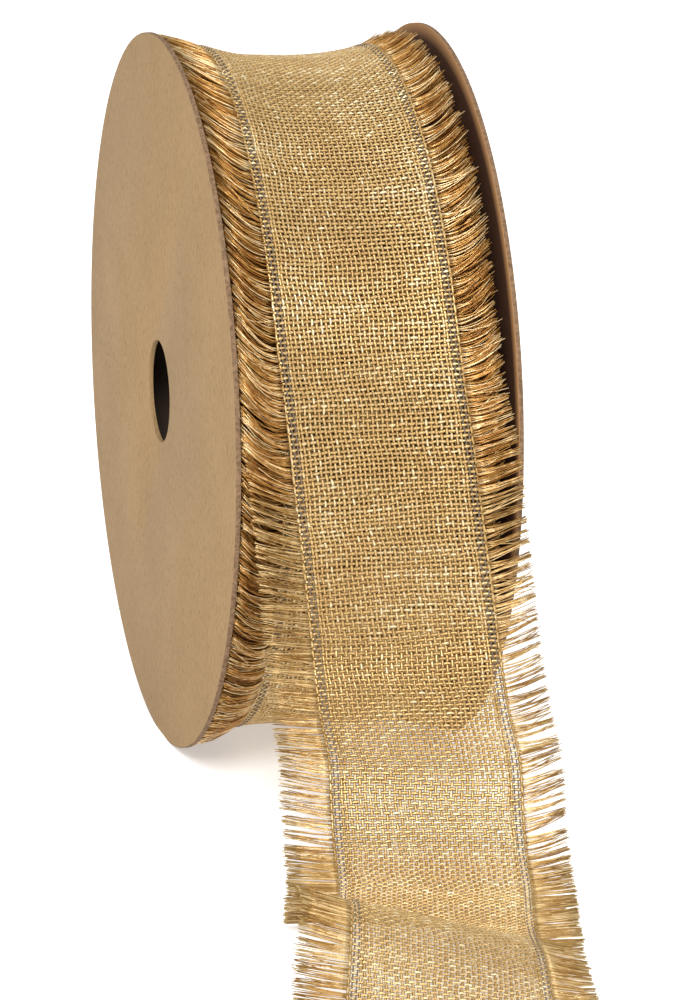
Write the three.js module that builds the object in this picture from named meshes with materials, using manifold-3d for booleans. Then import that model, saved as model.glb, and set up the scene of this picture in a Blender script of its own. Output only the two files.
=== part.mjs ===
// Wired ribbon with a fringe along both edges, wound on a cardboard spool.
// The spool stands on the rims of its two flanges, and the ribbon's loose end runs down its front,
// along the surface and over one low wave. All sizes are in millimetres, and +Z is up.
// While it is modelled, X runs along the spool's axis from the left flange's outer face,
// Y points to the back, and the axis lies at Y = Z = 0.
import * as THREE from 'three';
import { mergeVertices } from 'three/addons/utils/BufferGeometryUtils.js';
import Module from 'manifold-3d';

const wasm = await Module();
wasm.setup();

// Driving dimensions
const GAP = 0.3;                       // between pieces that touch on the real thing
const FLANGE_RADIUS = 62.5;
const BOARD = 0.8;                     // thickness of the flange board
const HOLE_RADIUS = 9;
const INNER_WIDTH = 47.24;             // between the two flanges
const FLAT_DEPTH = 0.25;               // the rim is pressed flat by this much where it stands
const CORE_RADIUS = { inner: 20, outer: 22 };
const WIRE_SPACING = 29.5;             // between the ribbon's two wires
const CLOTH_BEYOND_WIRE = 1;
const CLOTH = 1;                       // thickness of the loose end
const WIRE_RISE = 0.4;
const WIRE_RIDGE = 1.1;                // from the ridge's top to its inner foot
const STRIP = { width: 1.1, depth: 1, drop: 0.1 };  // the fringe's root strip, just below the cloth
const FRINGE_LENGTH = { left: 9, right: 7.8 };  // from the wire to the tips
const LOCK = { rootWidth: 2.3, tipWidth: 1.2, rootDepth: 0.7, tipDepth: 0.5 };
const LOCKS_ON_ROLL = 80;              // on each side
const FLOOR = FLAT_DEPTH - FLANGE_RADIUS;
const ABOVE_FLOOR = 0.02;              // between the floor and a lock that lies on it

// The roll's outer surface, across the spool. It sags between the wires, most at the top,
// and drops by a step at both edges, where the inner turns' fringe lies packed.
const ROLL_PROFILE = [
  { x: 1.1, top: 57.6, bottom: 58.0 },
  { x: 8.8, top: 57.9, bottom: 58.1 },
  { x: 8.9, top: 59.4, bottom: 59.4 },
  { x: 9.5, top: 59.8, bottom: 59.8 },
  { x: 10.4, top: 59.1, bottom: 59.4 },
  { x: 15.3, top: 58.3, bottom: 59.4 },
  { x: 21.0, top: 57.8, bottom: 59.5 },
  { x: 27.0, top: 57.6, bottom: 59.6 },
  { x: 33.0, top: 57.9, bottom: 59.7 },
  { x: 37.2, top: 58.6, bottom: 59.8 },
  { x: 38.3, top: 59.4, bottom: 60.2 },
  { x: 39.0, top: 59.0, bottom: 59.8 },
  { x: 39.1, top: 57.5, bottom: 58.2 },
  { x: 47.7, top: 57.2, bottom: 58.0 },
];
const ROLL_STEPS = 60;
const ROUND_CORE = 0.4;                // more than GAP, because the roll and the core are faceted
const ROLL_INNER_RADIUS = CORE_RADIUS.outer + ROUND_CORE;
const CORE_SIDES = 48;
const RIM_SEGMENTS = 36;               // of each half of a flange's rim

// Under the loose end the roll is one turn thinner, and its fringe is pressed down.
const UNDER_TAIL = { from: 86, full: 94, until: 118, back: 150, dip: 0.5, press: 0.75 };

// The fringe on the roll: each lock leans back against the winding and flares up at the flange.
const ROLL_FRINGE = {
  left: { edge: 8.9, outward: -1, tipX: 1.3, sweep: 4.5, tipRadius: 61.9 },
  right: { edge: 39.0, outward: 1, tipX: 46.8, sweep: 2.5, tipRadius: 61.6 },
};
const LEAN_CURVE = 1.5;                // a lock leans most near its tip
const RISE_CURVE = 1.4;                // and rises most there too
const LEAN_SPREAD = 0.2;               // how much the lean differs from lock to lock

// The loose end's centreline and its set across, from the roll to the cut end.
// heading turns it towards -X as it comes forward, tilt lifts its left edge, in mm for each mm
// across, bow lifts both edges over the middle, and flare lifts the fringe's tips.
const TAIL_ROWS = [
  { x: 26.0, y: -59.7, z: -6.0, heading: 0, tilt: 0, bow: 1.2, flare: 2.4 },
  { x: 27.0, y: -60.0, z: -14.0, heading: 0, tilt: 0, bow: 1.0, flare: 2.2 },
  { x: 28.2, y: -61.0, z: -25.0, heading: 3, tilt: 0, bow: 0.7, flare: 1.0 },
  { x: 28.7, y: -63.5, z: -34.0, heading: 5, tilt: 0, bow: 0.5, flare: 0.3 },
  { x: 28.5, y: -69.5, z: -41.5, heading: 9, tilt: 0, bow: 0.4, flare: 0.0 },
  { x: 28.0, y: -78.0, z: -47.0, heading: 14, tilt: 0, bow: 0.3, flare: 0.0 },
  { x: 27.2, y: -83.0, z: -54.0, heading: 16, tilt: 0, bow: 0.2, flare: 0.0 },
  { x: 26.5, y: -88.0, z: -59.6, heading: 16, tilt: 0, bow: 0.1, flare: 0.0 },
  { x: 25.0, y: -96.5, z: -61.7, heading: 16, tilt: 0, bow: 0, flare: 0 },
  { x: 22.4, y: -107.0, z: -61.75, heading: 15, tilt: 0, bow: 0, flare: 0 },
  { x: 19.9, y: -117.0, z: -61.6, heading: 13, tilt: 0.02, bow: 0, flare: 0 },
  { x: 18.3, y: -125.5, z: -59.4, heading: 10, tilt: 0.14, bow: -0.2, flare: 0 },
  { x: 17.3, y: -132.0, z: -56.2, heading: 8, tilt: 0.27, bow: -0.3, flare: 0 },
  { x: 15.8, y: -141.0, z: -55.2, heading: 9, tilt: 0.30, bow: -0.3, flare: 0 },
  { x: 13.4, y: -151.5, z: -57.6, heading: 12, tilt: 0.22, bow: -0.2, flare: 0 },
  { x: 10.6, y: -162.0, z: -60.5, heading: 16, tilt: 0.08, bow: 0, flare: 0 },
  { x: 8.0, y: -172.0, z: -61.75, heading: 18, tilt: 0, bow: 0, flare: 0 },
  { x: 2.8, y: -190.0, z: -61.75, heading: 17, tilt: 0, bow: 0, flare: 0 },
];
const TAIL_STEPS_PER_ROW = 2;
const TAIL_END = TAIL_ROWS.length - 1;

// The loose end's fringe is made in two lengths, from one place in the table to another:
// one hangs down the front of the roll, and one lies on the surface and over the wave.
const PARTING = { from: 7.48, to: 7.52 };
const HANGING = { from: 0, to: PARTING.from, locks: 22 };
const LYING = { from: PARTING.to, to: TAIL_END, locks: 32 };
const TAIL_FRINGE = { lengthSpread: 0.02, skew: 0.9, followsBow: 0.4 };

// Small helpers
const TURN = 2 * Math.PI;
const radians = THREE.MathUtils.degToRad;
const mix = THREE.MathUtils.lerp;
const ramp = THREE.MathUtils.smoothstep;

const MERGE_DISTANCE = 1e-5;
const GOLDEN_ANGLE = Math.PI * (3 - Math.sqrt(5));

// A repeatable uneven value from -1 to 1 for lock number i
const uneven = (i, seed) => Math.sin(i * seed * GOLDEN_ANGLE + seed);

// A closed mesh from a row of outlines, each a list of points in the same order.
// A looped row joins its last outline to its first; an open one gets two end faces.
function loft(outlines, looped) {
  const count = outlines[0].length;
  const positions = outlines.flat().flatMap((p) => [p.x, p.y, p.z]);
  const index = [];
  const spans = looped ? outlines.length : outlines.length - 1;
  for (let i = 0; i < spans; i += 1) {
    const here = i * count;
    const next = ((i + 1) % outlines.length) * count;
    for (let k = 0; k < count; k += 1) {
      const l = (k + 1) % count;
      index.push(here + k, next + k, next + l);
      index.push(here + k, next + l, here + l);
    }
  }
  if (!looped) {
    const last = (outlines.length - 1) * count;
    for (const [a, b, c] of endFaces(outlines[0])) {
      index.push(a, b, c);
    }
    for (const [a, b, c] of endFaces(outlines[outlines.length - 1])) {
      index.push(last + a, last + c, last + b);
    }
  }
  const geometry = new THREE.BufferGeometry();
  geometry.setAttribute('position', new THREE.Float32BufferAttribute(positions, 3));
  geometry.setIndex(index);
  return facingOut(geometry);
}

// The triangles of a flat outline, measured in its own plane
function endFaces(outline) {
  const origin = outline[0];
  const across = outline[1].clone().sub(origin).normalize();
  const normal = new THREE.Vector3();
  for (let k = 2; k < outline.length; k += 1) {
    const edge = outline[k].clone().sub(origin);
    normal.add(new THREE.Vector3().crossVectors(outline[k - 1].clone().sub(origin), edge));
  }
  normal.normalize();
  const up = new THREE.Vector3().crossVectors(normal, across);
  const flat = outline.map((p) => {
    const d = p.clone().sub(origin);
    return new THREE.Vector2(d.dot(across), d.dot(up));
  });
  return THREE.ShapeUtils.triangulateShape(flat, []);
}

// Turns a closed geometry's faces round if they point inwards
function facingOut(geometry) {
  const p = geometry.getAttribute('position');
  const index = geometry.getIndex().array;
  const corner = (i) => new THREE.Vector3().fromBufferAttribute(p, index[i]);
  let volume = 0;
  for (let i = 0; i < index.length; i += 3) {
    volume += corner(i).dot(corner(i + 1).cross(corner(i + 2)));
  }
  if (volume < 0) {
    for (let i = 0; i < index.length; i += 3) {
      [index[i + 1], index[i + 2]] = [index[i + 2], index[i + 1]];
    }
  }
  return geometry;
}

function toManifold(geometry) {
  const bare = geometry.clone();
  bare.deleteAttribute('normal');
  bare.deleteAttribute('uv');
  const merged = mergeVertices(bare, MERGE_DISTANCE);
  return new wasm.Manifold(new wasm.Mesh({
    numProp: 3,
    vertProperties: new Float32Array(merged.getAttribute('position').array),
    triVerts: new Uint32Array(merged.getIndex().array),
  }));
}

function joined(geometries) {
  const mesh = wasm.Manifold.union(geometries.map(toManifold)).getMesh();
  const geometry = new THREE.BufferGeometry();
  geometry.setAttribute('position', new THREE.BufferAttribute(mesh.vertProperties, 3));
  geometry.setIndex(new THREE.BufferAttribute(mesh.triVerts, 1));
  return geometry;
}

// Materials
const cardboard = () => new THREE.MeshStandardMaterial({ color: 0xb49670, roughness: 0.9, metalness: 0 });
const gold = () => new THREE.MeshStandardMaterial({ color: 0xc79a58, roughness: 0.45, metalness: 0.4 });
const fringeGold = () => new THREE.MeshStandardMaterial({ color: 0xb98a4a, roughness: 0.5, metalness: 0.4 });

function named(name, geometry, material) {
  geometry.computeVertexNormals();
  const mesh = new THREE.Mesh(geometry, material);
  mesh.name = name;
  return mesh;
}

// One flange: a disc with a centre hole, and a small flat at the bottom of its rim
function flange(name, x) {
  const half = Math.acos((FLANGE_RADIUS - FLAT_DEPTH) / FLANGE_RADIUS);
  const shape = new THREE.Shape();
  shape.absarc(0, 0, FLANGE_RADIUS, half, TURN - half, false);
  shape.closePath();
  const hole = new THREE.Path();
  hole.absarc(0, 0, HOLE_RADIUS, 0, TURN, true);
  shape.holes.push(hole);
  const geometry = new THREE.ExtrudeGeometry(shape, {
    depth: BOARD, bevelEnabled: false, curveSegments: RIM_SEGMENTS,
  });
  const mesh = named(name, geometry, cardboard());
  mesh.rotation.y = Math.PI / 2;
  mesh.position.x = x;
  return mesh;
}

// The tube that joins the flanges, wider inside than their holes
function core() {
  const length = INNER_WIDTH - 2 * GAP;
  const profile = [
    new THREE.Vector2(CORE_RADIUS.outer, 0),
    new THREE.Vector2(CORE_RADIUS.outer, length),
    new THREE.Vector2(CORE_RADIUS.inner, length),
    new THREE.Vector2(CORE_RADIUS.inner, 0),
    new THREE.Vector2(CORE_RADIUS.outer, 0),
  ];
  const mesh = named('core', new THREE.LatheGeometry(profile, CORE_SIDES), cardboard());
  mesh.rotation.z = -Math.PI / 2;
  mesh.position.x = BOARD + GAP;
  return mesh;
}

// A place on the roll: turn is the angle from the top towards the front
function onRoll(x, radius, turn) {
  return new THREE.Vector3(x, -radius * Math.sin(turn), radius * Math.cos(turn));
}

// How far a turn angle lies under the loose end, from 0 to 1
function underTail(turn) {
  const degrees = THREE.MathUtils.radToDeg(turn % TURN);
  const { from, full, until, back } = UNDER_TAIL;
  return ramp(degrees, from, full) * (1 - ramp(degrees, until, back));
}

function rollRadius(x, turn) {
  const i = ROLL_PROFILE.findIndex((row) => row.x >= x);
  const b = ROLL_PROFILE[i];
  const a = ROLL_PROFILE[Math.max(i - 1, 0)];
  const t = b.x > a.x ? (x - a.x) / (b.x - a.x) : 0;
  const low = (1 - Math.cos(turn)) / 2;
  const radius = mix(mix(a.top, b.top, t), mix(a.bottom, b.bottom, t), low);
  return radius - UNDER_TAIL.dip * underTail(turn);
}

// All the wound turns as one ring
function ribbonRoll() {
  const ends = [ROLL_PROFILE[ROLL_PROFILE.length - 1].x, ROLL_PROFILE[0].x];
  const outlines = [];
  for (let i = 0; i < ROLL_STEPS; i += 1) {
    const turn = (i / ROLL_STEPS) * TURN;
    outlines.push([
      ...ROLL_PROFILE.map((row) => onRoll(row.x, rollRadius(row.x, turn), turn)),
      ...ends.map((x) => onRoll(x, ROLL_INNER_RADIUS, turn)),
    ]);
  }
  return named('ribbon_roll', loft(outlines, true), gold());
}

// A three-sided lock through its stations: each is a point, the directions of its width and depth,
// and those two sizes. Its flat side lies underneath.
function lock(stations) {
  return loft(stations.map(({ at, side, up, width, depth }) => [
    at.clone().addScaledVector(side, -width / 2).addScaledVector(up, -depth / 2),
    at.clone().addScaledVector(side, width / 2).addScaledVector(up, -depth / 2),
    at.clone().addScaledVector(up, depth / 2),
  ]), false);
}

// The fringe that stands along one side of the roll, on a ring-shaped root strip
function rollFringe(name, { edge, outward, tipX, sweep, tipRadius }) {
  const near = edge + outward * GAP;
  const far = near + outward * STRIP.width;
  const rootX = (near + far) / 2;
  const rootRadius = (turn) => rollRadius(edge, turn) - STRIP.drop;
  const ring = [];
  for (let i = 0; i < ROLL_STEPS; i += 1) {
    const turn = (i / ROLL_STEPS) * TURN;
    const high = rootRadius(turn);
    const low = high - STRIP.depth;
    ring.push([
      onRoll(near, high, turn),
      onRoll(far, high, turn),
      onRoll(far, low, turn),
      onRoll(near, low, turn),
    ]);
  }
  const pieces = [loft(ring, true)];
  for (let i = 0; i < LOCKS_ON_ROLL; i += 1) {
    const rootTurn = (i / LOCKS_ON_ROLL) * TURN;
    const lean = sweep * (1 + LEAN_SPREAD * uneven(i, 1)) / FLANGE_RADIUS;
    const from = rootRadius(rootTurn) - STRIP.depth / 2;
    const rise = (tipRadius - from) * (1 - UNDER_TAIL.press * underTail(rootTurn));
    const reach = [0, 0.5, 1];
    pieces.push(lock(reach.map((share) => {
      const turn = rootTurn - lean * share ** LEAN_CURVE + TURN;
      const radius = from + rise * share ** RISE_CURVE - LOCK.rootDepth / 2 * share;
      return {
        at: onRoll(mix(rootX, tipX, share), radius, turn),
        side: new THREE.Vector3(0, -Math.cos(turn), -Math.sin(turn)),
        up: new THREE.Vector3(0, -Math.sin(turn), Math.cos(turn)),
        width: mix(LOCK.rootWidth, LOCK.tipWidth, share),
        depth: mix(LOCK.rootDepth, LOCK.tipDepth, share),
      };
    })));
  }
  return named(name, joined(pieces), fringeGold());
}

// A column of the loose end's table at a place between its rows, on a Catmull-Rom curve
function tailValue(column, place) {
  const i = Math.min(Math.floor(place), TAIL_END - 1);
  const t = place - i;
  const near = [i - 1, i, i + 1, i + 2].map((k) => THREE.MathUtils.clamp(k, 0, TAIL_END));
  const [a, b, c, d] = near.map((k) => TAIL_ROWS[k][column]);
  const square = 2 * a - 5 * b + 4 * c - d;
  const cube = 3 * b - a - 3 * c + d;
  return (2 * b + (c - a) * t + square * t ** 2 + cube * t ** 3) / 2;
}

const SMALL_STEP = 0.02;               // in rows of the table
const tailCentre = (place) => new THREE.Vector3(...['x', 'y', 'z'].map((c) => tailValue(c, place)));

// The loose end's own directions at a place: along it, across it to the right, and out of its face
function tailFrame(place) {
  const along = tailCentre(Math.min(place + SMALL_STEP, TAIL_END));
  along.sub(tailCentre(Math.max(place - SMALL_STEP, 0))).normalize();
  const heading = radians(tailValue('heading', place));
  const across = new THREE.Vector3(Math.cos(heading), -Math.sin(heading), -tailValue('tilt', place));
  across.normalize();
  const out = new THREE.Vector3().crossVectors(along, across).normalize();
  return { along, across, out };
}

// A point of the loose end: v across it from its centreline, n out of its middle surface.
// No point is lower than the floor.
function onTail(place, v, n) {
  const { across, out } = tailFrame(place);
  const bow = tailValue('bow', place) * (v / (WIRE_SPACING / 2)) ** 2;
  const point = tailCentre(place).addScaledVector(across, v).addScaledVector(out, n + bow);
  point.z = Math.max(point.z, FLOOR);
  return point;
}

const CLOTH_EDGE = WIRE_SPACING / 2 + CLOTH_BEYOND_WIRE;

// The loose end's cloth, with a ridge over each wire
function ribbonTail() {
  const wire = WIRE_SPACING / 2;
  const top = [
    { v: -CLOTH_EDGE, rise: 0 },
    { v: -wire, rise: WIRE_RISE },
    { v: -wire + WIRE_RIDGE, rise: 0 },
    { v: -wire / 2, rise: 0 },
    { v: 0, rise: 0 },
    { v: wire / 2, rise: 0 },
    { v: wire - WIRE_RIDGE, rise: 0 },
    { v: wire, rise: WIRE_RISE },
    { v: CLOTH_EDGE, rise: 0 },
  ];
  const under = [CLOTH_EDGE, wire / 2, 0, -wire / 2, -CLOTH_EDGE];
  const outlines = [];
  for (let i = 0; i <= TAIL_END * TAIL_STEPS_PER_ROW; i += 1) {
    const place = i / TAIL_STEPS_PER_ROW;
    outlines.push([
      ...top.map(({ v, rise }) => onTail(place, v, CLOTH / 2 + rise)),
      ...under.map((v) => onTail(place, v, -CLOTH / 2)),
    ]);
  }
  return named('ribbon_tail', loft(outlines, false), gold());
}

// Places in the table at the middles of equal lengths of the loose end, between two places
function evenPlaces(from, to, count) {
  const places = [];
  const lengths = [];
  let travelled = 0;
  let before = tailCentre(from);
  for (let place = from; place <= to; place += SMALL_STEP) {
    const here = tailCentre(place);
    travelled += here.distanceTo(before);
    places.push(place);
    lengths.push(travelled);
    before = here;
  }
  const wanted = (i) => ((i + 0.5) / count) * travelled;
  return Array.from({ length: count }, (_, i) => places[lengths.findIndex((l) => l >= wanted(i))]);
}

// One length of the fringe along one edge of the loose end, on a root strip parted from the
// cloth's edge
function tailFringe(name, side, length, { from, to, locks }) {
  const near = side * (CLOTH_EDGE + GAP);
  const far = near + side * STRIP.width;
  const root = (near + far) / 2;
  const tip = side * (WIRE_SPACING / 2 + length);
  const half = STRIP.depth / 2;
  const strip = [];
  const steps = Math.round((to - from) * TAIL_STEPS_PER_ROW);
  for (let i = 0; i <= steps; i += 1) {
    const place = mix(from, to, i / steps);
    strip.push([
      onTail(place, near, half),
      onTail(place, far, half),
      onTail(place, far, -half),
      onTail(place, near, -half),
    ]);
  }
  const pieces = [loft(strip, false)];
  evenPlaces(from, to, locks).forEach((place, i) => {
    const { along, out } = tailFrame(place);
    const base = onTail(place, root, 0);
    const reach = onTail(place, tip * (1 + TAIL_FRINGE.lengthSpread * uneven(i, 2)), 0);
    const bow = tailValue('bow', place) * (TAIL_FRINGE.followsBow - 1);
    reach.addScaledVector(out, tailValue('flare', place) + bow);
    reach.addScaledVector(along, TAIL_FRINGE.skew * uneven(i, 3));
    pieces.push(lock([0, 1].map((share) => {
      const width = mix(LOCK.rootWidth, LOCK.tipWidth, share);
      const depth = mix(LOCK.rootDepth, LOCK.tipDepth, share);
      const reachDown = (Math.abs(along.z) * width + depth) / 2;
      const at = base.clone().lerp(reach, share);
      at.z = Math.max(at.z, FLOOR + reachDown + ABOVE_FLOOR);
      return { at, side: along, up: out, width, depth };
    })));
  });
  return named(name, joined(pieces), fringeGold());
}

// The whole object, stood with its box's bottom centre at the origin
const group = new THREE.Group();
const placed = new THREE.Group();
group.add(placed);
placed.add(flange('flange_left', 0));
placed.add(flange('flange_right', BOARD + INNER_WIDTH));
placed.add(core());
placed.add(ribbonRoll());
placed.add(rollFringe('roll_fringe_left', ROLL_FRINGE.left));
placed.add(rollFringe('roll_fringe_right', ROLL_FRINGE.right));
placed.add(ribbonTail());
placed.add(tailFringe('hanging_fringe_left', -1, FRINGE_LENGTH.left, HANGING));
placed.add(tailFringe('hanging_fringe_right', 1, FRINGE_LENGTH.right, HANGING));
placed.add(tailFringe('lying_fringe_left', -1, FRINGE_LENGTH.left, LYING));
placed.add(tailFringe('lying_fringe_right', 1, FRINGE_LENGTH.right, LYING));
group.updateMatrixWorld(true);
const box = new THREE.Box3().setFromObject(group);
const middle = box.getCenter(new THREE.Vector3());
placed.position.set(-middle.x, -middle.y, -box.min.z);

export default group;
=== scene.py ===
# %% [markdown]
# # A wired ribbon on its cardboard spool
# The object is a spool of open-woven gold ribbon. Two wires run along its edges, and outside each
# wire the weft threads stick out as a fringe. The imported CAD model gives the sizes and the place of
# everything; this script gives it real threads, real board and a studio.
# The cloth is made thread by thread, because at this distance each thread of the weave can be seen.
# A picture of a weave on a smooth sheet would have no holes, no thickness and no glints.

import math
from types import SimpleNamespace

import bpy
import numpy as np
from mathutils import Matrix, Vector


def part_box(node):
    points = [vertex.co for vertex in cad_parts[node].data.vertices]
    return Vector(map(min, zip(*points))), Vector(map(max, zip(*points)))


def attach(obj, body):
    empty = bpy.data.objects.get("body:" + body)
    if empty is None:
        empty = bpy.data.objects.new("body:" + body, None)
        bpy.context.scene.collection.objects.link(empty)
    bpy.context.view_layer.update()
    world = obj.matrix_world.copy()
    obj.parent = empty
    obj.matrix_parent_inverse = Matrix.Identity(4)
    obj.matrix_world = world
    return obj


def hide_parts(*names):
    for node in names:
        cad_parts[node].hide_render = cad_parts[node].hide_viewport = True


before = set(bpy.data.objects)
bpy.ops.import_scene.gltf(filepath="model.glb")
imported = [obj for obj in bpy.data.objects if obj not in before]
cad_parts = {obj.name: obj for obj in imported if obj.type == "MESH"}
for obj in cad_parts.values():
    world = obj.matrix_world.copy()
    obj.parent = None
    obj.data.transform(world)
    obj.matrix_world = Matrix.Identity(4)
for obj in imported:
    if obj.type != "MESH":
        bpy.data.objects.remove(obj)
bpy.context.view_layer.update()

# %% [markdown]
# ## One frame for all the making
# A spool is easiest to think of around its own axis. So all making is in millimetres, with X along
# the axis from the left flange's outer face, Y to the back and Z up, and the axis at Y = Z = 0.
# One function moves finished points into the model's frame, in metres.

# %% The spool's own frame
MM = 0.001
FLANGE_RADIUS = 62.5
flange_low, flange_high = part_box("flange_left")
right_low, right_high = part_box("flange_right")
BOARD = (flange_high.x - flange_low.x) / MM
INNER_WIDTH = (right_low.x - flange_high.x) / MM
SPOOL = np.array([flange_low.x, (flange_low.y + flange_high.y) / 2, flange_high.z - FLANGE_RADIUS * MM])
FLOOR = -SPOOL[2] / MM


def to_model(points):
    """Points in the spool's frame, in millimetres, as points of the model, in metres."""
    return np.asarray(points, float) * MM + SPOOL


print("board", round(BOARD, 2), "mm, between flanges", round(INNER_WIDTH, 2), "mm")
print("floor at", round(FLOOR, 2), "mm from the axis")

# %% [markdown]
# ## Camera first
# The photo was taken from the front left and a little above, with a long lens. A hand-fitted pinhole
# camera gives the place, two angles and the focal length in pixels of the 680 by 1000 photo.
# Blender's lens is that focal length times the sensor's long side over the picture's long side.

# %% Camera
PHOTO_HEIGHT_PX = 1000
FOCAL_PX = 5304
SENSOR_MM = 36
CAMERA_PLACE = (-181.4, -887.6, 200.5)
CAMERA_YAW = 0.2365
CAMERA_PITCH = 0.2385
NEAREST, FARTHEST = 0.05, 50

cos_yaw, sin_yaw = math.cos(CAMERA_YAW), math.sin(CAMERA_YAW)
cos_pitch, sin_pitch = math.cos(CAMERA_PITCH), math.sin(CAMERA_PITCH)
forward = Vector((sin_yaw * cos_pitch, cos_yaw * cos_pitch, -sin_pitch))
rightward = Vector((cos_yaw, -sin_yaw, 0))
upward = rightward.cross(forward)
lens = bpy.data.cameras.new("photo_camera")
lens.sensor_width = SENSOR_MM
lens.lens = SENSOR_MM * FOCAL_PX / PHOTO_HEIGHT_PX
lens.clip_start, lens.clip_end = NEAREST, FARTHEST
camera = bpy.data.objects.new("photo_camera", lens)
bpy.context.scene.collection.objects.link(camera)
axes = Matrix((rightward, upward, -forward)).transposed().to_4x4()
camera.matrix_world = Matrix.Translation(Vector(to_model(CAMERA_PLACE))) @ axes
bpy.context.scene.camera = camera
print("lens", round(lens.lens, 1), "mm")

# %% [markdown]
# ## Studio
# The photo has a plain white ground and even, soft light, a little stronger from the front left.
# A white world fills every shadow, and a wide soft light above gives the threads their glints.
# Lit paper alone comes out light grey. So the floor also glows faintly, as a light table does, and
# comes out pure white, with only a soft contact shadow on it.
# One helper makes every material. What is the same all over a surface, such as its roughness, is
# written straight on the shader's own sockets.

# %% Floor and world
FLOOR_SIZE = 12.0
WORLD_STRENGTH = 0.68
WHITE = (1, 1, 1, 1)


def new_material(name, finish):
    """A node material, its tree and its shader. finish says what is the same all over it."""
    material = bpy.data.materials.new(name)
    material.use_nodes = True
    tree = material.node_tree
    shader = tree.nodes["Principled BSDF"]
    for socket, value in finish.items():
        shader.inputs[socket].default_value = value
    return material, tree, shader


bpy.ops.object.select_all(action="DESELECT")
bpy.ops.mesh.primitive_plane_add(size=FLOOR_SIZE, location=(0, 0, 0))
floor = bpy.context.object
floor.name = "floor"
white_paper, _, _ = new_material("white_paper", {
    "Base Color": (0.93, 0.93, 0.93, 1), "Roughness": 0.9, "Specular IOR Level": 0.1,
    "Emission Color": WHITE, "Emission Strength": 0.42,
})
floor.data.materials.append(white_paper)

world = bpy.data.worlds.new("studio")
bpy.context.scene.world = world
world.use_nodes = True
world.node_tree.nodes["Background"].inputs["Color"].default_value = WHITE
world.node_tree.nodes["Background"].inputs["Strength"].default_value = WORLD_STRENGTH
print("floor of", FLOOR_SIZE, "m, world of strength", WORLD_STRENGTH)


# %% Lights
def soft_light(name, place, aim, size, power):
    """A square area light at a place, turned to face its aim, both in metres from the spool."""
    data = bpy.data.lights.new(name, "AREA")
    data.energy, data.size = power, size
    light = bpy.data.objects.new(name, data)
    bpy.context.scene.collection.objects.link(light)
    light.location = Vector(SPOOL) + Vector(place)
    turn_to = Vector(aim) - Vector(place)
    light.rotation_mode = "QUATERNION"
    light.rotation_quaternion = turn_to.to_track_quat("-Z", "Y")


soft_light("key", place=(-1.0, -2.9, 2.2), aim=(0, 0.1, 0), size=1.3, power=110)
soft_light("top", place=(0.9, 0.4, 3.2), aim=(0, 0.3, 0), size=1.6, power=24)
bpy.context.scene.view_settings.view_transform = "Standard"
bpy.context.scene.view_settings.look = "None"

# %% [markdown]
# ## Where the cloth goes
# The ribbon is one long strip. A place on it is given by s, the length along it in millimetres, and
# v, the distance across it from its middle. s is 0 where the cloth leaves the roll at the front, more
# than 0 on the loose end, and less than 0 back round the roll.
# On the roll the surface sags between the wires, most at the top. The profile gives its radius over
# x at the top and the bottom, and the next table gives the ribbon's middle over the turn in degrees.
# The loose end has a row for each station: its middle, its heading towards the left in degrees, its
# tilt up at the left in mm for each mm across, the bow of its edges and the flare of its fringe.

# %% Tables of the roll and the loose end
ROLL_PROFILE = {
    "x": [8.2, 9.7, 12.5, 15.3, 21.0, 27.0, 32.6, 35.5, 38.4, 39.5],
    "top": [60.0, 59.8, 59.0, 58.3, 57.8, 57.6, 57.9, 58.3, 58.9, 59.2],
    "bottom": [59.8, 59.6, 59.4, 59.4, 59.5, 59.6, 59.7, 59.8, 59.9, 60.0],
}
ROLL_MIDDLE = {
    "turn": [-290, -100, -20, 0, 30, 60, 72, 80, 91, 96, 102],
    "x": [24.4, 23.9, 23.9, 23.9, 23.5, 23.5, 23.8, 24.4, 25.5, 26.1, 26.8],
}
TAIL_ROWS = {
    "x": [24.9, 25.5, 26.1, 27.0, 28.2, 28.7, 28.5, 28.0, 27.2, 26.5, 25.0, 22.4, 19.9, 18.3, 17.3, 15.8,
          13.4, 10.6, 8.0, 2.8],
    "y": [-58.6, -59.2, -59.6, -60.0, -61.0, -63.5, -69.5, -78.0, -83.0, -88.0, -96.5, -107.0, -117.0,
          -125.5, -132.0, -141.0, -151.5, -162.0, -172.0, -190.0],
    "z": [10.0, 2.0, -6.0, -14.0, -25.0, -34.0, -41.5, -47.0, -54.0, -59.6, -61.9, -62.0, -61.8, -59.5,
          -56.3, -55.3, -57.7, -60.7, -62.0, -62.0],
    "heading": [0, 0, 0, 0, 3, 5, 9, 14, 16, 16, 16, 15, 13, 10, 8, 9, 12, 16, 18, 17],
    "tilt": [0, 0, 0, 0, 0, 0, 0, 0, 0, 0, 0, 0, 0.02, 0.14, 0.27, 0.30, 0.22, 0.08, 0, 0],
    "bow": [1.0, 1.0, 1.0, 0.9, 0.7, 0.5, 0.4, 0.3, 0.2, 0.1, 0, 0, 0, -0.2, -0.3, -0.3, -0.2, 0, 0, 0],
    "flare": [2.2, 2.3, 2.4, 2.2, 1.0, 0.3, 0, 0, 0, 0, 0, 0, 0, 0, 0, 0, 0, 0, 0, 0],
}
LEAVE_TURN = math.radians(95.75)     # where the cloth leaves the roll, from the top to the front
LEAVE_ROW = 2                        # the same place in the table of the loose end
MEAN_RADIUS = 58.8
OUTER_TURN = 2 * math.pi * MEAN_RADIUS
TURN_THICKNESS = 0.5
WIRE = 14.75                         # from the ribbon's middle to a wire
CLOTH_EDGE = 15.75
NARROWER_ON_ROLL = 0.985             # the sag pulls the wires together
print("outer turn:", round(OUTER_TURN, 1), "mm, stations of the loose end:", len(TAIL_ROWS["x"]))


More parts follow.
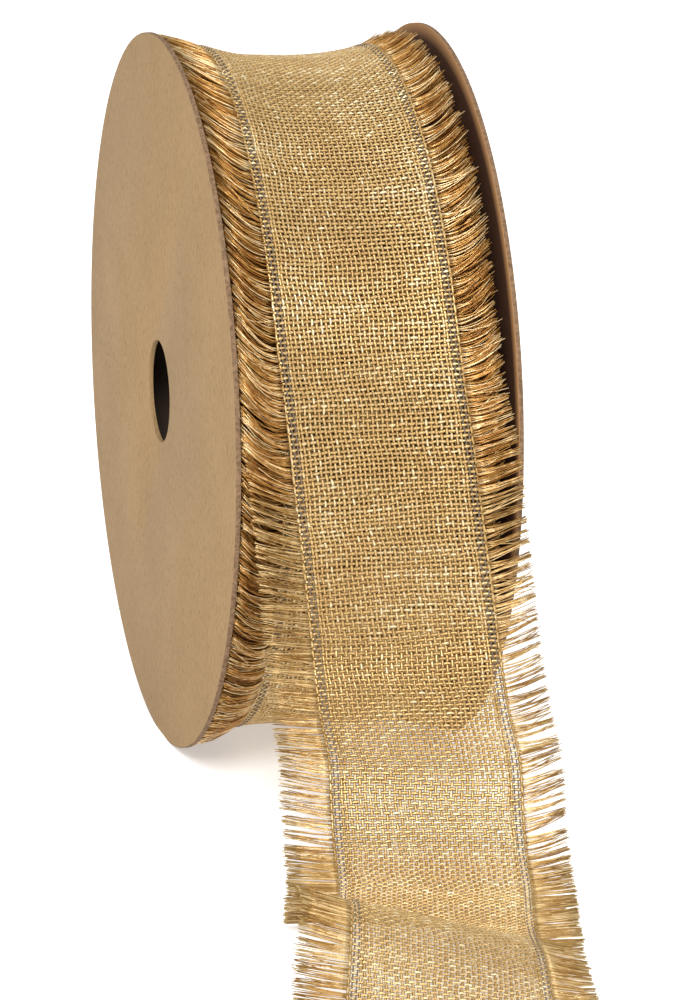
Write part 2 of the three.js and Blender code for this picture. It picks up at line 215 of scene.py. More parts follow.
# %% Smooth curves, eases and directions
def curve(xs, ys, x):
    """A smooth curve through the points of a table, at the places x."""
    xs, ys = np.asarray(xs, float), np.asarray(ys, float)
    x = np.clip(x, xs[0], xs[-1])
    i = np.clip(np.searchsorted(xs, x, side="right") - 1, 0, len(xs) - 2)
    slope = np.gradient(ys, xs)
    span = xs[i + 1] - xs[i]
    t = (x - xs[i]) / span
    start, end = ys[i], ys[i + 1]
    leave, arrive = slope[i] * span, slope[i + 1] * span
    return (
        (2 * t**3 - 3 * t**2 + 1) * start
        + (t**3 - 2 * t**2 + t) * leave
        + (3 * t**2 - 2 * t**3) * end
        + (t**3 - t**2) * arrive
    )


def ease(x, low, high):
    """0 below low, 1 above high, and smooth between them."""
    t = np.clip((np.asarray(x, float) - low) / (high - low), 0, 1)
    return t * t * (3 - 2 * t)


def unit(vectors):
    """The same directions, each of length 1."""
    return vectors / np.linalg.norm(vectors, axis=-1, keepdims=True)


print("an ease from 0 to 4:", ease(np.arange(5), 0, 4).round(2))

# %% [markdown]
# ## The loose end
# Its stations aren't evenly spaced. So its middle line is measured in fine steps first, and then a
# length s gives a row of the table, and the row gives a place and two directions.

# %% From length to a row of the table
FINE_STEPS = 40
rows = np.arange(len(TAIL_ROWS["x"]), dtype=float)


def tail_middle(row):
    """A point of the loose end's middle line, at a row of its table."""
    return np.stack([curve(rows, TAIL_ROWS[axis], row) for axis in ("x", "y", "z")], -1)


fine_rows = np.linspace(0, rows[-1], (len(rows) - 1) * FINE_STEPS + 1)
fine_steps = np.linalg.norm(np.diff(tail_middle(fine_rows), axis=0), axis=1)
fine_lengths = np.concatenate([[0], np.cumsum(fine_steps)])
fine_lengths -= np.interp(LEAVE_ROW, fine_rows, fine_lengths)
TAIL_LENGTH = fine_lengths[-1]
print("loose end:", round(TAIL_LENGTH, 1), "mm")


# %% The loose end's surface
def tail_row(s):
    """The row of the loose end's table at length s."""
    return np.interp(s, fine_lengths, fine_rows)


def tail_axes(s):
    """Unit directions of the loose end at s: across it to the right, and out of its face."""
    step = 0.5
    s = np.clip(s, fine_lengths[0] + step, fine_lengths[-1] - step)
    along = unit(tail_middle(tail_row(s + step)) - tail_middle(tail_row(s - step)))
    row = tail_row(s)
    heading = np.radians(curve(rows, TAIL_ROWS["heading"], row))
    tilt = curve(rows, TAIL_ROWS["tilt"], row)
    across = unit(np.stack([np.cos(heading), -np.sin(heading), -tilt], -1))
    return across, unit(np.cross(along, across))


def on_tail(s, v, lift=0.0):
    """A point of the loose end, or lifted off its face."""
    row = tail_row(s)
    across, out = tail_axes(s)
    bow = curve(rows, TAIL_ROWS["bow"], row) * (np.minimum(np.abs(v), CLOTH_EDGE) / WIRE) ** 2
    return tail_middle(row) + across * v[..., None] + out * (lift + bow)[..., None]


ends = np.array([0.0, TAIL_LENGTH])
print("the loose end runs from and to", on_tail(ends, 0 * ends).round(1).tolist(), "mm")

# %% [markdown]
# ## The roll and the whole ribbon
# The outer turn is one cloth's thickness further out than the turn under it, so its radius shrinks
# slowly as s goes back. Where the ribbon leaves the roll, the two surfaces are mixed over 26 mm, so
# it has no kink there.


# %% The roll's surface
def turn_at(s):
    """The angle round the roll at s, from the top towards the front."""
    return LEAVE_TURN + s / MEAN_RADIUS


def around(x, radius, turn):
    """A point at a radius from the spool's axis."""
    return np.stack([x + 0 * turn, -radius * np.sin(turn), radius * np.cos(turn)], -1)


def roll_radius(x, turn):
    """The radius of the wound cloth's surface across the spool."""
    low = (1 - np.cos(turn)) / 2
    top = curve(ROLL_PROFILE["x"], ROLL_PROFILE["top"], x)
    bottom = curve(ROLL_PROFILE["x"], ROLL_PROFILE["bottom"], x)
    return top * (1 - low) + bottom * low


def shrink_at(s):
    """How much further in the outer turn lies at s than at its loose end."""
    return TURN_THICKNESS * -np.minimum(s, 0) / OUTER_TURN


def middle_at(turn):
    """x of the ribbon's middle at a turn."""
    return curve(ROLL_MIDDLE["turn"], ROLL_MIDDLE["x"], np.degrees(turn))


def on_roll(s, v):
    """A point of the wound cloth."""
    turn = turn_at(s)
    x = middle_at(turn) + v * NARROWER_ON_ROLL
    return around(x, roll_radius(x, turn) - shrink_at(s), turn)


print("one turn back, the radius is", round(float(shrink_at(-OUTER_TURN)), 2), "mm less")

# %% The whole ribbon's surface
LEAVING = (-20.0, 6.0)


def on_cloth(s, v):
    """A point of the whole ribbon: on the roll, on the loose end, or between them as it leaves."""
    s, v = np.broadcast_arrays(np.asarray(s, float), np.asarray(v, float))
    loose = ease(s, *LEAVING)[..., None]
    return on_roll(s, v) * (1 - loose) + on_tail(s, v) * loose


def cloth_axes(s, v):
    """Unit directions of the cloth at s and v, measured on its surface."""
    step = 0.4
    along = unit(on_cloth(s + step, v) - on_cloth(s - step, v))
    across = unit(on_cloth(s, v + step) - on_cloth(s, v - step))
    return along, across, unit(np.cross(along, across))


print("the ribbon leaves the roll at", on_cloth([0.0], [0.0])[0].round(1).tolist(), "mm")

# %% [markdown]
# ## Threads from arrays
# A weave has tens of thousands of crossings, so its threads are worked out as arrays and joined into
# a few meshes. Each thread is a thin closed tube with three sides, which is enough at a width of two
# or three pixels. One function makes all tubes of a piece at once from their centre lines. A second
# joins such parts into an object, with a tone stored for each point.

# %% Tubes round many centre lines
THREAD_CORNERS = 3


def tubes(lines, sides, ups, half_width, half_depth, corners=THREAD_CORNERS):
    """Closed tubes round lines of the same number of points. Arrays are (threads, points, 3)."""
    threads, points = lines.shape[:2]
    angles = math.pi / 2 + np.arange(corners) * 2 * math.pi / corners
    half_width = np.broadcast_to(half_width, (threads, points))[..., None, None]
    half_depth = np.broadcast_to(half_depth, (threads, points))[..., None, None]
    wide, deep = np.cos(angles)[:, None] * half_width, np.sin(angles)[:, None] * half_depth
    rings = lines[:, :, None, :] + wide * sides[:, :, None, :] + deep * ups[:, :, None, :]
    ring = np.arange(threads * points * corners).reshape(threads, points, corners)
    here, there = ring[:, :-1], ring[:, 1:]
    walls = np.stack([here, np.roll(here, -1, 2), np.roll(there, -1, 2), there], -1).reshape(-1, 4)
    ends = np.concatenate([ring[:, 0, ::-1], ring[:, -1]])
    return rings.reshape(-1, 3), walls.tolist() + ends.tolist()


def piece_of(name, parts, tones, material):
    """One mesh object from several (points, faces) parts, each with a tone for every point. What
    would sink into the floor is pressed flat on it."""
    points, faces, first = [], [], 0
    for part_points, part_faces in parts:
        points.append(part_points)
        faces += [[first + i for i in face] for face in part_faces]
        first += len(part_points)
    points = np.concatenate(points)
    points[:, 2] = np.maximum(points[:, 2], FLOOR)
    mesh = bpy.data.meshes.new(name)
    mesh.from_pydata(to_model(points).tolist(), [], faces)
    mesh.shade_smooth()
    tone = mesh.attributes.new("tone", "FLOAT", "POINT")
    tone.data.foreach_set("value", np.concatenate(tones).astype(np.float32))
    piece = bpy.data.objects.new(name, mesh)
    bpy.context.scene.collection.objects.link(piece)
    mesh.materials.append(material)
    print(name, sum(len(face) - 2 for face in faces), "triangles")
    return piece


print("a thread's tube has", THREAD_CORNERS, "sides")

# %% [markdown]
# ## Building blocks of the materials
# A finish is a small chain of nodes that ends in the shader's colour or normal. By hand each node is
# added and wired in the Shader Editor. Here a helper adds one, so a finish has a line for each step.
# Patterns read Object coordinates, in metres, so a noise of scale 1000 has patches of about 1 mm.


# %% One helper for each kind of node
def give(tree, socket, value):
    """Put another node's output, a number, a vector or a colour into a socket."""
    if isinstance(value, bpy.types.NodeSocket):
        tree.links.new(value, socket)
    elif isinstance(value, tuple) and len(value) < len(socket.default_value):
        socket.default_value = (*value, 1)
    else:
        socket.default_value = value


def maths(tree, operation, *values, vectors=False):
    """The result of a Math or Vector Math node."""
    node = tree.nodes.new("ShaderNodeVectorMath" if vectors else "ShaderNodeMath")
    node.operation = operation
    for socket, value in zip(node.inputs, values):
        give(tree, socket, value)
    return node.outputs["Vector" if vectors and operation != "LENGTH" else "Value"]


def noise(tree, coordinates, scale, detail):
    """Soft patches between 0 and 1."""
    node = tree.nodes.new("ShaderNodeTexNoise")
    for name, value in (("Vector", coordinates), ("Scale", scale), ("Detail", detail)):
        give(tree, node.inputs[name], value)
    return node.outputs["Fac"]


def stretched(tree, value, start, end, low=0.0, high=1.0):
    """A value stretched so that start gives low and end gives high, and it goes no further."""
    node = tree.nodes.new("ShaderNodeMapRange")
    numbers = (("Value", value), ("From Min", start), ("From Max", end), ("To Min", low), ("To Max", high))
    for name, number in numbers:
        give(tree, node.inputs[name], number)
    return node.outputs["Result"]


def ramp(tree, factor, stops):
    """A colour from a ramp with the given (place, colour) stops."""
    node = tree.nodes.new("ShaderNodeValToRGB")
    elements = node.color_ramp.elements
    while len(elements) < len(stops):
        elements.new(0.5)
    for element, (place, colour) in zip(elements, stops):
        element.position = place
        element.color = (*colour, 1)
    tree.links.new(factor, node.inputs["Fac"])
    return node.outputs["Color"]


def mixed(tree, factor, first, second, mode="MIX"):
    """Two colours mixed."""
    node = tree.nodes.new("ShaderNodeMix")
    node.data_type, node.blend_type = "RGBA", mode
    for socket, value in ((node.inputs[0], factor), (node.inputs[6], first), (node.inputs[7], second)):
        give(tree, socket, value)
    return node.outputs[2]


def relief(tree, shader, height, strength, distance):
    """Low relief on a surface, its distance in metres."""
    node = tree.nodes.new("ShaderNodeBump")
    for name, value in (("Strength", strength), ("Distance", distance), ("Height", height)):
        give(tree, node.inputs[name], value)
    tree.links.new(node.outputs["Normal"], shader.inputs["Normal"])


print("six helpers for nodes")

# %% [markdown]
# ## Gold thread, fringe and wire
# The yarn is a fine metallic thread: half metal, half plastic film, with a warm gold colour, and no
# two threads catch the light alike. Each point carries a tone, one value for a thread, and the tone
# chooses its colour. A fine noise varies it along the thread, and a coarse one makes whole patches
# of the cloth darker. A very fine relief breaks the gloss into glints.
# The roll's fringe is redder and deeper, because its threads shade each other. Light reaches the
# loose end's fringe from all sides, so a duller brown gives it the same look. The wire is dull
# grey-brown steel.

# %% Materials of the ribbon
GLINT_DISTANCE = 0.0001


def thread_material(name, dark, middle, light, metallic, roughness):
    """Metallic yarn with colours from dark to light, by the tone of each point."""
    material, tree, shader = new_material(name, {"Metallic": metallic, "Roughness": roughness})
    tone = tree.nodes.new("ShaderNodeAttribute")
    tone.attribute_name = "tone"
    coordinates = tree.nodes.new("ShaderNodeTexCoord").outputs["Object"]
    patch = noise(tree, coordinates, scale=900, detail=1.0)
    value = maths(tree, "MULTIPLY_ADD", patch, 0.5, tone.outputs["Fac"])
    cloud = noise(tree, coordinates, scale=65, detail=1.0)
    value = maths(tree, "ADD", value, stretched(tree, cloud, 0.3, 0.7, low=-0.12, high=0.06))
    colour = ramp(tree, value, [(0.25, dark), (0.75, middle), (0.96, light)])
    tree.links.new(colour, shader.inputs["Base Color"])
    glint = noise(tree, coordinates, scale=5000, detail=1.0)
    relief(tree, shader, glint, strength=0.5, distance=GLINT_DISTANCE)
    return material


gold_thread = thread_material(
    "gold_thread", dark=(0.45, 0.265, 0.09), middle=(0.655, 0.443, 0.182), light=(0.88, 0.73, 0.45),
    metallic=0.6, roughness=0.3)
loose_thread = thread_material(
    "loose_thread", dark=(0.29, 0.135, 0.028), middle=(0.49, 0.295, 0.09), light=(0.80, 0.59, 0.29),
    metallic=0.55, roughness=0.32)
fringe_thread = thread_material(
    "fringe_thread", dark=(0.31, 0.112, 0.015), middle=(0.60, 0.322, 0.078), light=(0.92, 0.70, 0.38),
    metallic=0.55, roughness=0.30)
wire_metal, _, _ = new_material("edge_wire", {
    "Base Color": (0.18, 0.14, 0.10, 1), "Specular IOR Level": 0.2, "Roughness": 0.6,
})
print("ribbon materials:", gold_thread.name, loose_thread.name, fringe_thread.name, wire_metal.name)

# %% [markdown]
# ## The weave
# A plain weave: every weft thread goes over one warp thread and under the next, and its neighbour
# does the opposite. So a crossing of weft j and warp i is up when i + j is even. The wires run as
# two more warps, with a warp thread close on each side. Real threads aren't evenly spaced, so slow
# waves and a small shift of each thread are added, from a seeded generator.

# %% Weave layout
PITCH = 0.83                    # from thread to thread, both ways
WARP_HALF = (0.30, 0.09)        # half a thread's width and its depth
WEFT_HALF = (0.34, 0.10)
WAVE_HEIGHT = 0.15              # how far a thread rises at a crossing
INNER_WARPS = 16                # warps on each side of the middle one
NEAR_WIRE = (0.34, 0.90)        # the wire's two strands, and the warps beside it, from its middle
UNDER_LOOSE_END = 22            # how far the outer turn runs on under the loose end
random = np.random.default_rng(7)

inner_warps = np.arange(-INNER_WARPS, INNER_WARPS + 1) * PITCH
band = np.array([-NEAR_WIRE[1], -NEAR_WIRE[0], NEAR_WIRE[0], NEAR_WIRE[1]])
warps = np.concatenate([band - WIRE, inner_warps, band + WIRE])
is_wire = np.abs(np.abs(warps) - WIRE) < NEAR_WIRE[0] + 0.01
cloth_warps = np.flatnonzero(~is_wire)
FIRST_WEFT = -int((OUTER_TURN + UNDER_LOOSE_END) / PITCH)
LAST_WEFT = int(TAIL_LENGTH / PITCH)
wefts = np.arange(FIRST_WEFT, LAST_WEFT + 1)
warp_shift = random.normal(0, 0.025, len(warps)) * ~is_wire
weft_shift = random.normal(0, 0.03, len(wefts))
warp_tone = random.uniform(0.40, 0.60, len(warps))
weft_tone = random.uniform(0.36, 0.56, len(wefts))
print(len(warps), "warps and", len(wefts), "wefts")

# %% Where the threads cross
SLOW_WAVE = 0.30
WEFT_WAVES = (11, 17, 29)       # lengths of the slow waves
WARP_WAVES = (8, 13, 31)
CROSSING_SHIFT = (0.05, 0.04)   # along and across the ribbon
HELD_BY_WIRE = (13, 14.5)       # from here out, a wire holds the crossings


def waves(a, b, lengths, seed):
    """A slow uneven value over a and b, between about -1 and 1."""
    draw = np.random.default_rng(seed)
    total = 0
    for length in lengths:
        angle, phase = draw.uniform(0, math.pi), draw.uniform(0, 2 * math.pi)
        ahead = a * math.cos(angle) + b * math.sin(angle)
        total = total + np.sin(ahead * 2 * math.pi / length + phase)
    return total / len(lengths)


def crossings(chosen):
    """s and v where the chosen wefts cross every warp, and whether the warp is up there."""
    j, i = np.meshgrid(wefts[chosen], np.arange(len(warps)), indexing="ij")
    even_s = j * PITCH
    s = even_s + weft_shift[chosen][:, None] + SLOW_WAVE * waves(even_s, warps[i], WEFT_WAVES, seed=3)
    s = s + CROSSING_SHIFT[0] * random.standard_normal(s.shape)
    soft = 1 - ease(np.abs(warps[i]), *HELD_BY_WIRE)
    v = warps[i] + warp_shift[i] + soft * SLOW_WAVE * waves(even_s, warps[i], WARP_WAVES, seed=4)
    v = v + soft * CROSSING_SHIFT[1] * random.standard_normal(v.shape)
    return s, v, (i + j) % 2 == 0


print("slow waves of up to", SLOW_WAVE, "mm")

# %% [markdown]
# A thread is a little wider where it lies on top, because it is pressed flat there, and narrower
# where it dives under. Widths and tones also differ a little from crossing to crossing.

# %% A piece of weave
FULLER_ON_TOP = 0.14
UNEVEN_WIDTH = 0.10
TONE_SPREAD = 0.10
THINNER_WHEN_LOOSE = 0.05
THINS_OVER = (0, 30)


def weave_piece(name, first, last):
    """The woven cloth from weft number first to last, without its wires."""
    chosen = (wefts >= first) & (wefts <= last)
    s, v, up = crossings(chosen)
    sparkle = TONE_SPREAD * random.standard_normal(s.shape)
    along, across, out = cloth_axes(s, v)
    middle, rise = on_cloth(s, v), out * np.where(up, WAVE_HEIGHT, -WAVE_HEIGHT)[..., None]
    warp_full = np.where(up, 1 + FULLER_ON_TOP, 1 - FULLER_ON_TOP).T[cloth_warps]
    weft_full = np.where(up, 1 - FULLER_ON_TOP, 1 + FULLER_ON_TOP)
    warp_full = warp_full * random.normal(1, UNEVEN_WIDTH, warp_full.shape)
    weft_full = weft_full * random.normal(1, UNEVEN_WIDTH, weft_full.shape)
    thinner = 1 - THINNER_WHEN_LOOSE * ease(s, *THINS_OVER)
    warp_full, weft_full = warp_full * thinner.T[cloth_warps], weft_full * thinner

    lines, sides, ups = (a.transpose(1, 0, 2)[cloth_warps] for a in (middle + rise, across, out))
    warp_part = tubes(lines, sides, ups, WARP_HALF[0] * warp_full, WARP_HALF[1])
    weft_part = tubes(middle - rise, -along, out, WEFT_HALF[0] * weft_full, WEFT_HALF[1])
    warp_tones = warp_tone[cloth_warps][:, None] + sparkle.T[cloth_warps]
    weft_tones = weft_tone[chosen][:, None] - sparkle
    tones = [np.repeat(part.ravel(), THREAD_CORNERS) for part in (warp_tones, weft_tones)]
    return piece_of(name, [warp_part, weft_part], tones, gold_thread)


# %% Weave of the loose end and of the outer turn, in three pieces
HALF_WAY = FIRST_WEFT // 2
loose_weave = weave_piece("loose_end_weave", 0, LAST_WEFT)
front_weave = weave_piece("outer_turn_weave_front", HALF_WAY, 0)
back_weave = weave_piece("outer_turn_weave_back", FIRST_WEFT, HALF_WAY)

# %% [markdown]
# ## Edge wires
# Along each edge two fine strands of wire run side by side. Each rises over every second weft and
# dips under the ones between, and its neighbour does the opposite, so from above they show as two
# rows of dark dashes, between a warp thread on either side. A cosine along s gives that rise, and
# the strands are tubes with more sides.

# %% Edge wires
WIRE_RADIUS = 0.135
WIRE_RAISE = 0.07
WIRE_CORNERS = 5
WIRE_TONE = 0.5


def wire_piece(name, first, last):
    """All strands of both wires, from weft number first to last."""
    half_steps = np.arange(2 * first, 2 * last + 1) / 2
    s = half_steps * PITCH
    parts, tones = [], []
    for number in np.flatnonzero(is_wire):
        v = warps[number] + 0 * s
        rise = WIRE_RAISE + WAVE_HEIGHT * np.cos(math.pi * (half_steps + number))
        _, across, out = cloth_axes(s, v)
        lines = on_cloth(s, v) + out * rise[:, None]
        parts.append(tubes(lines[None], across[None], out[None], WIRE_RADIUS, WIRE_RADIUS, WIRE_CORNERS))
        tones.append(np.full(len(parts[-1][0]), WIRE_TONE))
    return piece_of(name, parts, tones, wire_metal)


loose_wires = wire_piece("loose_end_wires", 0, LAST_WEFT)
roll_wires = wire_piece("outer_turn_wires", FIRST_WEFT, 0)

# %% [markdown]
# ## Fringe
# Outside the wire each weft opens into its fine threads: six on the loose end, and two or three on
# the roll, where they lie close together. On the roll they lean back against the winding and flare
# up where the flange stops them, and the fringes of the turns below lie under them, so the roll's
# fringe is made in several layers. On the loose end they stand straight out, with tips cut a little
# unevenly. Loose threads cling together, so small bunches form inside larger ones, each leans its
# own way, every thread has a slight wiggle, and a few cross the others.
# By hand they could be combed as hair. Here they are tubes, as the weave is, because they have to
# meet it thread by thread. t runs along a thread, from 0 at its root to 1 at its tip.

# %% Fringe layout
FRINGE_LAYERS = 4
ROOT_DROP, TIP_DROP = 0.75, 0.7      # how much lower each next layer's roots and tips lie
THREADS_ON_ROLL = 2.6                # threads for each weft
THREADS_LOOSE = 6.0
THREAD_HALF = (0.12, 0.088)          # half a thread's width at its root and at its tip
FINER_WHEN_LOOSE = 0.12
ROOT = CLOTH_EDGE - 0.25             # where a thread starts, from the ribbon's middle
SIDE_FACTS = {
    -1: {"tip_x": 1.15, "tip_spread": 0.2, "longest": 1.0, "tip_radius": 61.95, "rise": 0.6,
         "sweep": 5.2, "less_sweep": 0, "length": 9.0, "first_sweep": 3.6, "loose_sweep": 1.1,
         "gathered": (0.10, 0.60), "loosens": (-10, 3)},
    1: {"tip_x": 45.4, "tip_spread": 0.4, "longest": 1.1, "tip_radius": 61.2, "rise": 1.0,
        "sweep": 3.0, "less_sweep": 0.65, "length": 7.8, "first_sweep": 2.6, "loose_sweep": 2.4,
        "gathered": (0.35, 0.85), "loosens": (-24, -2)},
}
t = np.array([[0, 0.14, 0.3, 0.48, 0.7, 1.0]])
print("fringe of", SIDE_FACTS[-1]["length"], "mm on the left and", SIDE_FACTS[1]["length"], "mm on the right")

# %% Bunches, and the threads' own habits
BUNCH_LEAN = 0.35
SMALL_BUNCH = (0.6, 1.5)             # widths of the small bunches inside the larger ones
SMALL_GATHERED = (0.3, 0.9)
ROOT_SPREAD = 0.34
REACH_SPREAD = 0.03
BROKEN_SHARE, BROKEN_BY = 0.1, 0.25  # one thread in ten is broken off, by up to a quarter
CROSSING_SHARE = 0.07
OWN_LEAN, CROSSING_LEAN = 0.16, 1.1
DROOP = 0.22
WIGGLE = 0.12
WIGGLE_TURNS = (3, 9)


def bunched(s, widths, gathered, draw):
    """How far each thread at s moves towards its bunch's middle, and which way its bunch leans."""
    edges = [s.min() - 1]
    while edges[-1] < s.max() + 1:
        edges.append(edges[-1] + draw.uniform(*widths))
    edges = np.array(edges)
    number = np.searchsorted(edges, s) - 1
    close = draw.uniform(*gathered, len(edges))[number]
    lean = draw.normal(0, BUNCH_LEAN, len(edges))[number]
    return ((edges[number] + edges[number + 1]) / 2 - s) * close, lean


def grown(first, last, per_weft, draw):
    """The threads that grow from wefts first to last, each with its own habits."""
    numbers = np.arange(first, last + 1)
    copies = int(per_weft) + (draw.random(len(numbers)) < per_weft - int(per_weft))
    count = copies.sum()
    s = np.repeat(numbers, copies) * PITCH + draw.uniform(-ROOT_SPREAD, ROOT_SPREAD, count)
    reach = 1 + draw.normal(0, REACH_SPREAD, count)
    reach = reach - BROKEN_BY * (draw.random(count) < BROKEN_SHARE) * draw.random(count)
    crosses = draw.random(count) < CROSSING_SHARE
    own_lean = draw.normal(0, OWN_LEAN, count) + crosses * draw.normal(0, CROSSING_LEAN, count)
    droop = draw.normal(0, DROOP, count)[:, None]
    small, small_lean = bunched(s, SMALL_BUNCH, SMALL_GATHERED, draw)
    bends, phase = draw.uniform(*WIGGLE_TURNS, (count, 1)), draw.uniform(0, 6.3, (count, 1))
    wiggle = t * WIGGLE * np.sin(t * bends + phase)
    return SimpleNamespace(s=s, count=count, reach=reach[:, None], own_lean=own_lean, droop=droop,
                           small=small, small_lean=small_lean, wiggle=wiggle)


print("small bunches of", SMALL_BUNCH, "mm")

# %% Fringe threads on the roll
BUNCH_ON_ROLL = (1.6, 4.2)
GATHERED_ON_ROLL = (0.25, 0.9)
SMALL_SHARE, SMALL_LEAN_SHARE = 0.6, 0.8
CLEAR = 0.15                         # between a thread and the board, or the flange's rim
SWEEP_SPREAD = 0.08
NEAR_LEAVING = (72, 100)             # degrees over which the threads come to lean back less
TIP_RADIUS_SPREAD = 0.2
SMALL_RISE = 0.6


def threads_on_roll(threads, side, layer, draw):
    """Lines of threads that lean back against the winding and flare up at the flange."""
    facts, s = SIDE_FACTS[side], threads.s
    gather, lean = bunched(s, BUNCH_ON_ROLL, GATHERED_ON_ROLL, draw)
    gather = (gather + SMALL_SHARE * threads.small)[:, None]
    lean = (lean + SMALL_LEAN_SHARE * threads.small_lean + threads.own_lean)[:, None]
    turn = turn_at(s)[:, None]
    start_x = middle_at(turn) + side * ROOT * NARROWER_ON_ROLL
    tip_x = facts["tip_x"] + draw.normal(0, facts["tip_spread"], threads.count)[:, None]
    tip_x = start_x + (tip_x - start_x) * np.minimum(threads.reach, facts["longest"])
    tip_x = np.clip(tip_x, BOARD + CLEAR, BOARD + INNER_WIDTH - CLEAR)
    sweep = facts["sweep"] * (1 + draw.normal(0, SWEEP_SPREAD, threads.count))[:, None]
    sweep = sweep * (1 - facts["less_sweep"] * ease(np.degrees(turn), *NEAR_LEAVING))
    swept = sweep * t**1.7 - gather * t**0.7 - lean * t - threads.wiggle
    start = roll_radius(start_x, turn) - shrink_at(s)[:, None] - ROOT_DROP * layer
    tip = facts["tip_radius"] - TIP_DROP * layer
    tip = tip + draw.normal(0, TIP_RADIUS_SPREAD, threads.count)[:, None]
    radius = start + (tip - start) * t**facts["rise"]
    radius = radius + SMALL_RISE * threads.small_lean[:, None] * t + threads.wiggle
    x = start_x + (tip_x - start_x) * t**0.85
    return around(x, np.minimum(radius, FLANGE_RADIUS - CLEAR), turn - swept / FLANGE_RADIUS)


print("bunches on the roll of", BUNCH_ON_ROLL, "mm")

# %% Fringe threads of the loose end
BUNCH_LOOSE = (0.9, 2.6)
SMALL_SHARE_LOOSE, SMALL_LEAN_LOOSE = 0.3, 0.5
BUNCH_LEAN_LOOSE = 0.7
SETTLES = (5, 24)                    # from the sweep near the roll to the sweep of the loose end
LESS_SWEEP_FAR, FAR = 0.6, (60, 110)


def threads_loose(threads, side, draw):
    """Lines of threads that stand out from the loose end, swept a little back up it."""
    facts, s = SIDE_FACTS[side], threads.s
    gather, lean = bunched(s, BUNCH_LOOSE, facts["gathered"], draw)
    gather = (gather + SMALL_SHARE_LOOSE * threads.small)[:, None]
    lean = lean + SMALL_LEAN_LOOSE * threads.small_lean
    lean = (BUNCH_LEAN_LOOSE * lean + threads.own_lean)[:, None]
    settled = ease(s, *SETTLES)
    far = 1 - LESS_SWEEP_FAR * ease(s, *FAR)
    sweep = facts["first_sweep"] * (1 - settled) + facts["loose_sweep"] * settled * far
    swept_s = s[:, None] + gather * t**0.8 + lean * t + threads.wiggle - sweep[:, None] * t**1.3
    v = side * (ROOT + (facts["length"] - ROOT + WIRE) * threads.reach * t)
    flare = curve(rows, TAIL_ROWS["flare"], tail_row(s))[:, None]
    return on_tail(swept_s, v, (flare + threads.droop) * t**1.5)


print("bunches on the loose end of", BUNCH_LOOSE, "mm")

# %% [markdown]
# Only the outer turn's fringe comes loose, so only layer 0 is mixed from both kinds of line. Each layer is
# darker than the one over it, as it lies in its shade. A thread has a painted highlight at its cut tip, and
# painted light where it leaves the wire, because further out it lies in the fringe's shade.

# %% A fringe piece
FINER_OVER = (-24, 0)
TONES = (0.10, 0.80)
LAYER_SHADE = 0.11
# painted highlight on each thread's cut tip, and painted light at its root, where it is out of the fringe's
# shade
TIP_PAINTED_HIGHLIGHT, ROOT_PAINTED_LIGHT = 0.14, 0.1


def fringe_part(side, first, last, layer, per_weft, seed):
    """Threads of one side and one layer, for wefts first to last: (points, faces) and tones."""
    draw = np.random.default_rng(seed)
    threads = grown(first, last, per_weft, draw)
    on_winding = threads_on_roll(threads, side, layer, draw)
    hanging = threads_loose(threads, side, draw)
    s = threads.s
    loose = ease(s, *SIDE_FACTS[side]["loosens"])[:, None, None] if layer == 0 else 0
    lines = on_winding * (1 - loose) + hanging * loose
    lines[..., 2] = np.maximum(lines[..., 2], FLOOR + THREAD_HALF[0])
    path = unit(np.gradient(lines, axis=1))
    _, _, out = cloth_axes(s, side * ROOT + 0 * s)
    sides = unit(np.cross(out[:, None, :], path))
    finer = 1 - FINER_WHEN_LOOSE * ease(s, *FINER_OVER)[:, None]
    half = (THREAD_HALF[0] + (THREAD_HALF[1] - THREAD_HALF[0]) * t) * finer
    tone = draw.uniform(*TONES, threads.count)[:, None] - LAYER_SHADE * layer
    # painted highlight at the tip and painted light at the root
    tone = tone + TIP_PAINTED_HIGHLIGHT * (t > 0.9) + ROOT_PAINTED_LIGHT * (t < 0.2)
    return tubes(lines, sides, np.cross(path, sides), half, half), np.repeat(tone.ravel(), THREAD_CORNERS)


def fringe_piece(name, side, runs, material):
    """One piece from several runs, each (first weft, last weft, layer, threads per weft, seed)."""
    made = [fringe_part(side, *run) for run in runs]
    return piece_of(name, [part for part, _ in made], [tones for _, tones in made], material)


# %% Fringe pieces
LEAVING_WEFT = -28
ONE_TURN = int(OUTER_TURN / PITCH)


def roll_runs(seed):
    """The outer turn's fringe, denser where it leaves the roll, and the layers of the turns below."""
    outer = [(FIRST_WEFT, LEAVING_WEFT - 1, 0, THREADS_ON_ROLL, seed)]
    leaving = [(LEAVING_WEFT, 0, 0, THREADS_LOOSE, seed + 50)]
    return outer + leaving + [(-ONE_TURN, -1, k, THREADS_ON_ROLL, seed + k) for k in range(1, FRINGE_LAYERS)]


loose_fringes = [
    fringe_piece("loose_end_fringe_left", -1, [(1, LAST_WEFT, 0, THREADS_LOOSE, 21)], loose_thread),
    fringe_piece("loose_end_fringe_right", 1, [(1, LAST_WEFT, 0, THREADS_LOOSE, 22)], loose_thread),
]
roll_fringes = [
    fringe_piece("roll_fringe_threads_left", -1, roll_runs(31), fringe_thread),
    fringe_piece("roll_fringe_threads_right", 1, roll_runs(41), fringe_thread),
]

# %% [markdown]
# ## The turns underneath
# Under the outer turn lies the rest of the roll. Through the holes of the weave only the next turn
# shows, so one smooth ring stands for it. By hand this is a profile spun round the axis; then the
# sag, which changes round the roll, is put in by moving its points. Its weave is in the material.

# %% Spin the ring
RING_STEPS = 240
MERGE_DISTANCE = 1e-6
RING_PROFILE = [
    (1.1, 57.2), (4.0, 56.4), (7.0, 56.2), (8.6, 57.4), (9.4, 59.2), (11, 58.4), (14, 57.9), (18, 57.6),
    (22, 57.4), (26, 57.3), (30, 57.4), (34, 57.8), (37, 58.3), (38.2, 58.8), (39.2, 57.2), (41, 56.2),
    (44, 55.8), (45, 53), (47.6, 44), (47.6, 22.5), (1.1, 22.5),
]


